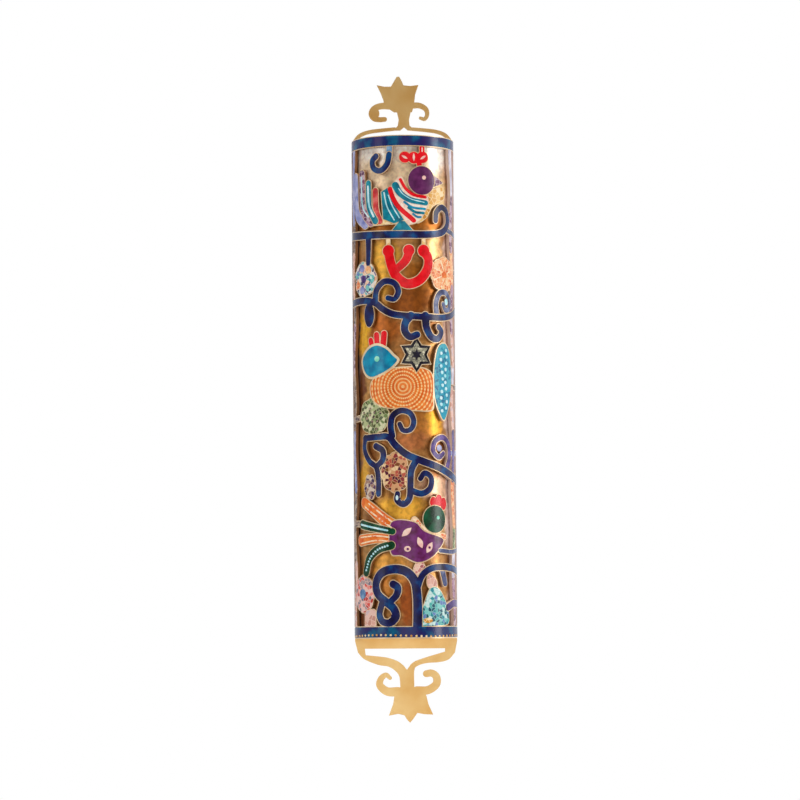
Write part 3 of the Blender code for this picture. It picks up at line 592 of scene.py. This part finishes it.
class Nodes:
    """A node tree, and shorthands for the nodes that this script uses."""

    def __init__(self, tree):
        self.tree = tree

    def node(self, kind, values=(), **settings):
        made = self.tree.nodes.new(kind)
        for key, value in settings.items():
            setattr(made, key, value)
        for key, value in dict(values).items():
            if hasattr(value, "is_output"):
                self.tree.links.new(value, made.inputs[key])
            else:
                made.inputs[key].default_value = value
        return made

    def ramp(self, source, stops, constant=False):
        made = self.node("ShaderNodeValToRGB", {"Fac": source})
        made.color_ramp.interpolation = "CONSTANT" if constant else "LINEAR"
        while len(made.color_ramp.elements) < len(stops):
            made.color_ramp.elements.new(1.0)
        for element, (at, colour) in zip(made.color_ramp.elements, stops):
            element.position = at
            element.color = colour
        return made.outputs["Color"]

    def remap(self, value, low, high, to_low=0.0, to_high=1.0, **settings):
        values = {"Value": value, "From Min": low, "From Max": high, "To Min": to_low, "To Max": to_high}
        return self.node("ShaderNodeMapRange", values, **settings).outputs[0]


class Shader(Nodes):
    """A Principled material."""

    def __init__(self, name, roughness, metallic=0.0, coat=0.0, specular=0.5):
        self.material = bpy.data.materials.new(name)
        self.material.use_nodes = True
        super().__init__(self.material.node_tree)
        self.main = self.tree.nodes["Principled BSDF"]
        self.main.inputs["Roughness"].default_value = roughness
        self.main.inputs["Metallic"].default_value = metallic
        self.main.inputs["Coat Weight"].default_value = coat
        self.main.inputs["Coat Roughness"].default_value = 0.06
        self.main.inputs["Specular IOR Level"].default_value = specular

    def vector(self, kind, *values, output="Vector"):
        return self.node("ShaderNodeVectorMath", dict(enumerate(values)), operation=kind).outputs[output]

    def place(self, sheet=True):
        """Sheet millimetres on the rolled pieces, or object millimetres."""
        if sheet:
            return self.node("ShaderNodeAttribute", attribute_name="sheet").outputs["Vector"]
        return self.vector("MULTIPLY", self.node("ShaderNodeTexCoord").outputs["Object"], (1 / MM,) * 3)

    def noise(self, place, scale, detail=3.0, stretch=(1.0, 1.0, 1.0)):
        moved = self.node("ShaderNodeMapping", {"Vector": place, "Scale": stretch}).outputs[0]
        return self.node("ShaderNodeTexNoise", {"Vector": moved, "Scale": scale,
                                                "Detail": detail}).outputs["Fac"]

    def mix(self, factor, first, second):
        return self.node("ShaderNodeMix", {0: factor, 6: first, 7: second}, data_type="RGBA").outputs[2]

    def math(self, kind, first, second=0.0, clamp=False):
        made = self.node("ShaderNodeMath", {0: first, 1: second}, operation=kind)
        made.use_clamp = clamp
        return made.outputs[0]

    def colour(self, source):
        if hasattr(source, "is_output"):
            self.tree.links.new(source, self.main.inputs["Base Color"])
        else:
            self.main.inputs["Base Color"].default_value = source
        return self

    def link(self, source, key):
        self.tree.links.new(source, self.main.inputs[key])

    def bump(self, height, strength, distance=0.0002):
        made = self.node("ShaderNodeBump", {"Height": height, "Strength": strength, "Distance": distance})
        self.link(made.outputs["Normal"], "Normal")


def enamel(name, dark, middle, light, scale=0.3):
    """Brushed-on enamel: three shades that run into each other."""
    made = Shader(name, 0.26, coat=0.15, specular=0.35)
    place = made.place()
    shade = made.noise(place, scale, 4.0)
    made.colour(made.ramp(shade, [(0.34, srgb(*dark)), (0.5, srgb(*middle)), (0.66, srgb(*light))]))
    made.bump(made.noise(place, 1.3, 2.0), 0.25)
    return made.material


GROUT_SHARE = 0.06  # half a line's width, as a share of a cell


def mosaic(name, colours, grout, cell=1.3):
    """Small touches of several colours, with thin lines between them."""
    made = Shader(name, 0.34, coat=0.1, specular=0.3)
    place = made.vector("MULTIPLY", made.place(), (1 / cell,) * 3)
    touches = made.node("ShaderNodeTexVoronoi", {"Vector": place, "Scale": 1.0},
                        voronoi_dimensions="2D")
    picked = made.node("ShaderNodeSeparateColor", {"Color": touches.outputs["Color"]}).outputs[0]
    stops = [(k / len(colours), srgb(*colour)) for k, colour in enumerate(colours)]
    edges = made.node("ShaderNodeTexVoronoi", {"Vector": place, "Scale": 1.0},
                      voronoi_dimensions="2D", feature="DISTANCE_TO_EDGE").outputs["Distance"]
    line = made.math("LESS_THAN", edges, GROUT_SHARE)
    made.colour(made.mix(line, made.ramp(picked, stops, constant=True), srgb(*grout)))
    made.bump(edges, 0.3)
    return made.material


RINGS_MIDDLE = (-0.5, 97.5, 0.0)
RINGS_APART = 1.4
BEADS = 40.0  # dots in each ring


def ringed_enamel():
    """Orange enamel with dotted pale rings round the middle of the bird's body."""
    made = Shader("enamel_ringed", 0.34, coat=0.1, specular=0.3)
    place = made.place()
    away = made.vector("SUBTRACT", place, RINGS_MIDDLE)
    reach = made.vector("LENGTH", away, output="Value")
    wave = made.math("SINE", made.math("MULTIPLY", reach, math.tau / RINGS_APART))
    apart = made.node("ShaderNodeSeparateXYZ", {0: away})
    turn = made.math("ARCTAN2", apart.outputs[1], apart.outputs[0])
    beads = made.math("SINE", made.math("MULTIPLY", turn, BEADS))
    both = made.math("ADD", wave, made.math("MULTIPLY", beads, 0.5))
    shade = made.noise(place, 0.35, 2.0)
    ground = made.ramp(shade, [(0.35, srgb(216, 92, 16)), (0.65, srgb(240, 128, 44))])
    line = made.math("MULTIPLY", made.math("SUBTRACT", both, 0.1), 1.2, clamp=True)
    made.colour(made.mix(line, ground, srgb(252, 208, 140)))
    made.bump(line, 0.3)
    return made.material


WALL_FACING = 0.3  # a face that looks outwards less than this is a cut wall
# The painted light on the cut walls: the pale colour that their painted shade turns to towards the right.
PAINTED_LIGHT_CUT = srgb(232, 208, 196)
PAINTED_LIGHT_FROM, PAINTED_LIGHT_TO = 0.011, 0.017  # metres to the right, over which the painted shade on the cut walls turns into painted light
ROUGHNESS_SPREAD = 0.05


def brass(name, colour, stain, roughness, sheet=False, brushed=(1.0, 1.0, 1.0), metallic=1.0, wall=None):
    """Brass with faint stains and fine wear lines, and painted shade on the cut walls of a rolled sheet
    that turns to painted light towards the right.
    """
    made = Shader(name, roughness, metallic=metallic)
    place = made.place(sheet)
    shade = made.ramp(made.noise(place, 0.06, 4.0), [(0.35, srgb(*stain)), (0.62, srgb(*colour))])
    if wall:
        spot = made.node("ShaderNodeTexCoord").outputs["Object"]
        away = made.vector("SUBTRACT", spot, (0.0, AXIS_Y * MM, 0.0))
        across = made.vector("MULTIPLY", away, (1.0, 1.0, 0.0))
        normal = made.node("ShaderNodeNewGeometry").outputs["True Normal"]
        facing = made.vector("DOT_PRODUCT", made.vector("NORMALIZE", across), normal, output="Value")
        rightward = made.node("ShaderNodeSeparateXYZ", {0: across}).outputs[0]
        # The cut walls get the wall colour as painted shade, turning to painted light towards the right.
        cut = made.mix(made.remap(rightward, PAINTED_LIGHT_FROM, PAINTED_LIGHT_TO), srgb(*wall), PAINTED_LIGHT_CUT)
        shade = made.mix(made.math("LESS_THAN", facing, WALL_FACING), shade, cut)
    made.colour(shade)
    grain = made.noise(place, 1.0, 5.0, stretch=brushed)
    made.link(made.remap(grain, 0.0, 1.0, roughness - ROUGHNESS_SPREAD, roughness + ROUGHNESS_SPREAD),
              "Roughness")
    made.bump(grain, 0.06)
    return made.material


# Patches of colour on the polished tube: middle, reach and colour, in sheet millimetres. They are partly
# heat tints and handling stains and partly painted light: the whitish patch along the top is painted glare,
# the pale pink patches near the right edge are painted light, and the brown and gold patches are partly
# painted reflections.
TINTS_AND_PAINTED_REFLECTIONS = [
    ((0, 190), (40, 9), (250, 236, 222)), ((-6, 180), (26, 8), (236, 206, 168)),
    ((14, 172), (8, 8), (236, 200, 140)), ((2, 161), (30, 4), (186, 110, 36)),
    ((-8, 144), (7, 12), (226, 168, 62)), ((13, 151), (6, 7), (232, 180, 120)),
    ((3, 131), (11, 8), (148, 80, 22)), ((8, 140), (8, 6), (176, 104, 30)),
    ((-9, 120), (8, 8), (186, 104, 40)),
    ((-20, 118), (5, 10), (244, 180, 44)), ((-21, 95), (4, 14), (120, 66, 30)),
    ((8, 83), (9, 6), (196, 124, 52)), ((13, 84), (4, 6), (214, 150, 40)),
    ((2, 76), (8, 5), (184, 112, 62)), ((-20, 62), (5, 8), (236, 176, 60)),
    ((12, 58), (8, 6), (226, 176, 140)), ((14, 38), (6, 8), (164, 112, 62)),
    ((-2, 49), (11, 6), (240, 176, 60)),
    ((-7, 30), (8, 4), (232, 164, 72)), ((-6, 19), (7, 8), (214, 138, 62)),
    ((1, 13), (4, 10), (150, 74, 18)), ((-22, 8), (5, 6), (130, 70, 30)),
    ((26, 60), (7, 70), (240, 220, 214)), ((26, 140), (7, 60), (240, 212, 196)),
    ((-27, 100), (4, 110), (128, 108, 104)),
]


def tinted_brass_with_painted_light():
    made = Shader("tube_brass", 0.3, metallic=0.55, specular=0.4)
    place = made.place()
    wobble = made.node("ShaderNodeTexNoise", {"Vector": place, "Scale": 0.12,
                                              "Detail": 3.0}).outputs["Color"]
    shift = made.vector("MULTIPLY_ADD", wobble, (14.0, 14.0, 0.0), (-7.0, -7.0, 0.0))
    moved = made.vector("ADD", place, shift)
    colour = made.ramp(made.noise(place, 0.1, 4.0), [(0.35, srgb(150, 92, 44)), (0.65, srgb(206, 150, 84))])
    # Blends each patch in over the brass: heat tints, painted glare and painted reflections alike.
    for (u, z), (reach_u, reach_z), patch_colour in TINTS_AND_PAINTED_REFLECTIONS:
        away = made.vector("SUBTRACT", moved, (u, z, 0.0))
        scaled = made.vector("MULTIPLY", away, (1 / reach_u, 1 / reach_z, 0.0))
        reach = made.vector("LENGTH", scaled, output="Value")
        near = made.remap(reach, 1.25, 0.55, interpolation_type="SMOOTHSTEP")
        colour = made.mix(near, colour, srgb(*patch_colour))
    mottle = made.noise(place, 0.55, 3.0)
    shading = made.remap(mottle, 0.3, 0.7, 0.78, 1.4)
    shaded = made.node("ShaderNodeVectorMath", {0: colour, 3: shading}, operation="SCALE").outputs["Vector"]
    made.colour(shaded)
    made.bump(mottle, 0.12, 0.0003)
    return made.material


def parchment():
    made = Shader("parchment_skin", 0.75)
    place = made.place(sheet=False)
    made.colour(made.ramp(made.noise(place, 0.12, 5.0),
                          [(0.3, srgb(206, 180, 134)), (0.7, srgb(238, 222, 186))]))
    made.bump(made.noise(place, 0.8, 4.0), 0.3)
    return made.material


PAINTS = {
    "navy": enamel("enamel_navy", (14, 10, 50), (16, 22, 84), (0, 74, 130), 0.2),
    "band": enamel("enamel_band", (40, 18, 88), (10, 36, 98), (0, 96, 132), 0.16),
    "steel": enamel("enamel_steel", (70, 110, 158), (110, 150, 190), (150, 184, 210)),
    "purple": enamel("enamel_purple", (74, 20, 68), (92, 28, 84), (108, 42, 98)),
    "green": enamel("enamel_green", (0, 40, 18), (0, 62, 32), (10, 84, 52)),
    "cyan": enamel("enamel_cyan", (0, 108, 150), (0, 136, 172), (8, 158, 192)),
    "red": enamel("enamel_red", (206, 0, 14), (230, 0, 22), (240, 20, 34)),
    "black": enamel("enamel_black", (12, 10, 20), (22, 20, 34), (40, 36, 54)),
    "slate": enamel("enamel_slate", (36, 42, 86), (70, 78, 122), (128, 136, 168)),
    "violet": enamel("enamel_violet", (48, 26, 84), (82, 54, 126), (116, 92, 160)),
    "magenta": enamel("enamel_magenta", (84, 14, 60), (106, 34, 100), (122, 48, 118)),
    "cream": mosaic("enamel_cream", [(250, 206, 160), (240, 130, 80), (255, 226, 186)], (255, 236, 204)),
    "orange": enamel("enamel_orange", (222, 88, 16), (236, 118, 34), (246, 148, 64)),
    "teal": enamel("enamel_teal", (0, 92, 116), (0, 124, 146), (24, 150, 166)),
    "crimson": enamel("enamel_crimson", (176, 30, 34), (206, 44, 44), (222, 104, 96)),
    "mauve": mosaic("enamel_mauve", [(124, 70, 104), (168, 122, 150), (196, 168, 180), (100, 60, 90)],
                    (206, 178, 184), 1.6),
    "lavender": enamel("enamel_lavender", (110, 118, 178), (146, 150, 200), (186, 186, 218)),
    "umber": mosaic("enamel_umber", [(96, 68, 62), (140, 108, 92), (74, 50, 58), (176, 150, 130)],
                    (180, 156, 136), 1.8),
    "shell_pink": mosaic("enamel_shell_pink", [(250, 226, 206), (244, 206, 186), (255, 236, 220)],
                         (252, 232, 214)),
    "honey": mosaic("enamel_honey", [(240, 196, 120), (226, 166, 76), (250, 222, 176), (206, 140, 50)],
                    (248, 220, 168), 1.8),
    "aqua": mosaic("enamel_aqua", [(0, 134, 168), (0, 152, 184), (0, 112, 150), (70, 172, 190)],
                   (60, 172, 184), 1.6),
    "ringed": ringed_enamel(),
    "peach": mosaic("enamel_peach", [(240, 142, 84), (246, 170, 112), (226, 112, 58), (250, 200, 146)],
                    (252, 206, 158)),
    "pastel": mosaic("enamel_pastel", [(126, 186, 188), (240, 176, 140), (120, 108, 150), (236, 222, 212),
                                       (60, 60, 100), (248, 206, 176)], (240, 226, 210), 1.5),
    "sage": mosaic("enamel_sage", [(114, 134, 80), (176, 184, 132), (76, 82, 40), (214, 212, 172),
                                   (90, 100, 70)], (190, 190, 144)),
    "rose": mosaic("enamel_rose", [(140, 48, 50), (216, 158, 112), (84, 22, 50), (240, 204, 156),
                                   (126, 70, 34), (186, 84, 66)], (216, 168, 120)),
    "plum": mosaic("enamel_plum", [(96, 60, 92), (160, 120, 106), (64, 44, 86), (214, 196, 180)],
                   (200, 180, 160)),
    "pink": mosaic("enamel_pink", [(206, 130, 124), (236, 190, 170), (170, 90, 96)], (246, 220, 200)),
    "turquoise": mosaic("enamel_turquoise", [(20, 136, 150), (120, 196, 192), (0, 82, 100),
                                             (206, 228, 224), (96, 122, 184), (70, 174, 168)],
                        (150, 206, 198)),
    "coral": mosaic("enamel_coral", [(224, 78, 66), (236, 140, 130), (168, 150, 150), (240, 196, 186),
                                     (196, 52, 50), (120, 116, 130)], (240, 200, 188), 1.5),
    "blush": mosaic("enamel_blush", [(226, 172, 154), (236, 192, 178), (206, 146, 130), (214, 186, 190)],
                    (240, 206, 190), 1.8),
    "pearl": enamel("enamel_pearl", (176, 166, 184), (206, 198, 214), (232, 226, 236)),
    "frost": enamel("enamel_frost", (150, 220, 230), (196, 238, 244), (230, 248, 250)),
    "blossom": enamel("enamel_blossom", (240, 170, 170), (248, 206, 190), (252, 226, 210)),
    "silver": mosaic("enamel_silver", [(170, 166, 140), (214, 208, 180), (130, 128, 112)], (60, 54, 60),
                     0.9),
    "mint": enamel("enamel_mint", (90, 206, 170), (130, 222, 190), (170, 236, 210)),
}
# The wall colour here is the painted shade of the shell's cut walls.
EDGE_BRASS = brass("shell_brass", (252, 226, 186), (230, 194, 144), 0.34, sheet=True, metallic=0.3,
                   wall=(150, 104, 66))
TUBE_BRASS = tinted_brass_with_painted_light()
PLATE_BRASS = brass("plate_brass", (248, 210, 144), (234, 184, 110), 0.36)
DOOR_BRASS = brass("door_brass", (232, 190, 112), (214, 166, 88), 0.3, brushed=(1.0, 1.0, 0.1))

# Shell, enamel, tube and plate.

STRIPS = 90 if FINE else 30  # flat strips that make up a half-round
shell_bends = bend_lines(SHELL_RADIUS, STRIPS)


def on_shell(name, outlines, cuts, rise, wall, made, bevel):
    """A rolled piece that stands rise over the shell's front and is wall thick."""
    place = rolled(SHELL_RADIUS + rise, wall, STRIPS, SHELL_RADIUS)
    return piece(name, slab(outlines, cuts, shell_bends), place, made, "case", bevel)


openwork = shell_metal() + [field[1] for field in SHEET]
shell = on_shell("shell_metal", openwork, (), 0.0, SHELL_WALL, EDGE_BRASS, 0.12)
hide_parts("openwork_shell")

painted_bands = [box(-HALF_SHEET + RIM, RIM * 1.6, HALF_SHEET - RIM, BOTTOM_BAND - RIM),
                 box(-HALF_SHEET + RIM, LENGTH - TOP_BAND + RIM, HALF_SHEET - RIM, LENGTH - RIM)]
for place_in_order, colour in enumerate(ORDER):
    fields = [inset(outline, rim[0] if rim else RIM) for tone, outline, *rim in SHEET if tone == colour]
    over = [field[1] for field in SHEET if field[0] in ORDER[:place_in_order]]
    if colour == "band":
        fields, over = painted_bands, []
    elif colour == "navy":
        over = painted_bands
    else:
        over += BANDS
    on_shell("enamel_" + colour, fields, over, PAINT, PAINT + SINK, PAINTS[colour], 0.09)
for colour in sorted({tone for tone, _ in DETAILS}):
    dots = [outline for tone, outline in DETAILS if tone == colour]
    rise = PAINT * (3 if colour in UPPERMOST else 2)
    on_shell("detail_" + colour, dots, (), rise, rise, PAINTS[colour], 0.07)

tube = piece("tube_polished", slab(tube_metal(), bends=bend_lines(TUBE_RADIUS, STRIPS)),
             rolled(TUBE_RADIUS, TUBE_WALL, STRIPS, TUBE_RADIUS), TUBE_BRASS, "case", 0.1)
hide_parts("half_tube")
plate = piece("plate_cut", slab(*plate_metal()), flat(-PLATE_WALL, PLATE_WALL), PLATE_BRASS, "case",
              0.18)
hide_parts("back_plate")


def dress(node, made):
    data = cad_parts[node].data
    data.materials.clear()
    data.materials.append(made)


for node in ("bottom_cap", "top_cap", "rail_left", "rail_right", "rear_door"):
    dress(node, DOOR_BRASS)
dress("parchment_scroll", parchment())

# Stage, light and camera.

FLOOR_RADIUS, FLOOR_Z = 4.0, -0.85
CAMERA_AT, CAMERA_AIM = (-0.0005, -1.37, 0.0), (-0.0017, 0.0, 0.0938)
CAMERA_TILT = math.radians(-0.43)  # about its line of sight
CAMERA_LENS, CAMERA_SENSOR = 156.8, 36.0

scene = bpy.context.scene
scene.view_settings.view_transform = "Standard"
scene.view_settings.look = "None"

bpy.ops.mesh.primitive_circle_add(vertices=64, radius=FLOOR_RADIUS, fill_type="NGON",
                                  location=(0, 0, FLOOR_Z))
floor = bpy.context.object
floor.name = "floor"
ground = Shader("floor_white", 0.6).colour((0.86, 0.86, 0.86, 1.0))
floor.data.materials.append(ground.material)

world = bpy.data.worlds.new("studio")
scene.world = world
world.use_nodes = True
studio = Nodes(world.node_tree)
studio.tree.nodes.clear()


def grey(value, warm=0.0):
    return value, value * (1 - 0.35 * warm), value * (1 - 0.7 * warm), 1.0


# The world's light changes from the front (0) round to the back (1), and weakens to the left.
direction = studio.node("ShaderNodeTexCoord").outputs["Generated"]
rightward, backward, _ = studio.node("ShaderNodeSeparateXYZ", {0: direction}).outputs
sides = studio.ramp(studio.remap(backward, -1.0, 1.0), [(0.0, grey(0.14, 0.6)), (0.12, grey(0.18, 0.5)),
                                                        (0.3, grey(0.6)), (0.5, grey(0.9, -0.04))])
strength = studio.remap(rightward, -1.0, 0.2, 0.5, 1.0)
lit = studio.node("ShaderNodeBackground", {"Color": sides, "Strength": strength})
plain = studio.node("ShaderNodeBackground", {"Color": (1.0, 1.0, 1.0, 1.0), "Strength": 1.0})
seen = studio.node("ShaderNodeLightPath").outputs["Is Camera Ray"]
both = studio.node("ShaderNodeMixShader", {0: seen, 1: lit.outputs[0], 2: plain.outputs[0]})
studio.node("ShaderNodeOutputWorld", {0: both.outputs[0]})


def softbox(name, location, target, width, height, power):
    light = bpy.data.lights.new(name, "AREA")
    light.shape = "RECTANGLE"
    light.size, light.size_y = width, height
    light.energy = power
    lamp = bpy.data.objects.new(name, light)
    lamp.location = location
    lamp.rotation_euler = (Vector(target) - Vector(location)).to_track_quat("-Z", "Y").to_euler()
    scene.collection.objects.link(lamp)


softbox("strip_left", (-1.3, -0.9, 0.35), (0, 0, 0.1), 0.5, 1.4, 2.5)
softbox("strip_right", (1.6, -0.35, 0.3), (0, 0, 0.1), 0.5, 1.4, 10.0)
softbox("key_above", (-0.5, -0.9, 1.5), (0, 0, 0.1), 1.2, 0.8, 13.0)
softbox("card_low", (0.1, -1.6, -0.2), (0, 0, 0.1), 1.2, 1.2, 4.1)

camera_data = bpy.data.cameras.new("camera")
camera = bpy.data.objects.new("camera", camera_data)
scene.collection.objects.link(camera)
camera.location = CAMERA_AT
aim = Vector(CAMERA_AIM) - camera.location
look = aim.to_track_quat("-Z", "Y").to_matrix().to_4x4()
camera.rotation_euler = (look @ Matrix.Rotation(CAMERA_TILT, 4, "Z")).to_euler()
camera_data.sensor_width = CAMERA_SENSOR
camera_data.lens = CAMERA_LENS
camera_data.clip_end = 20.0
scene.camera = camera
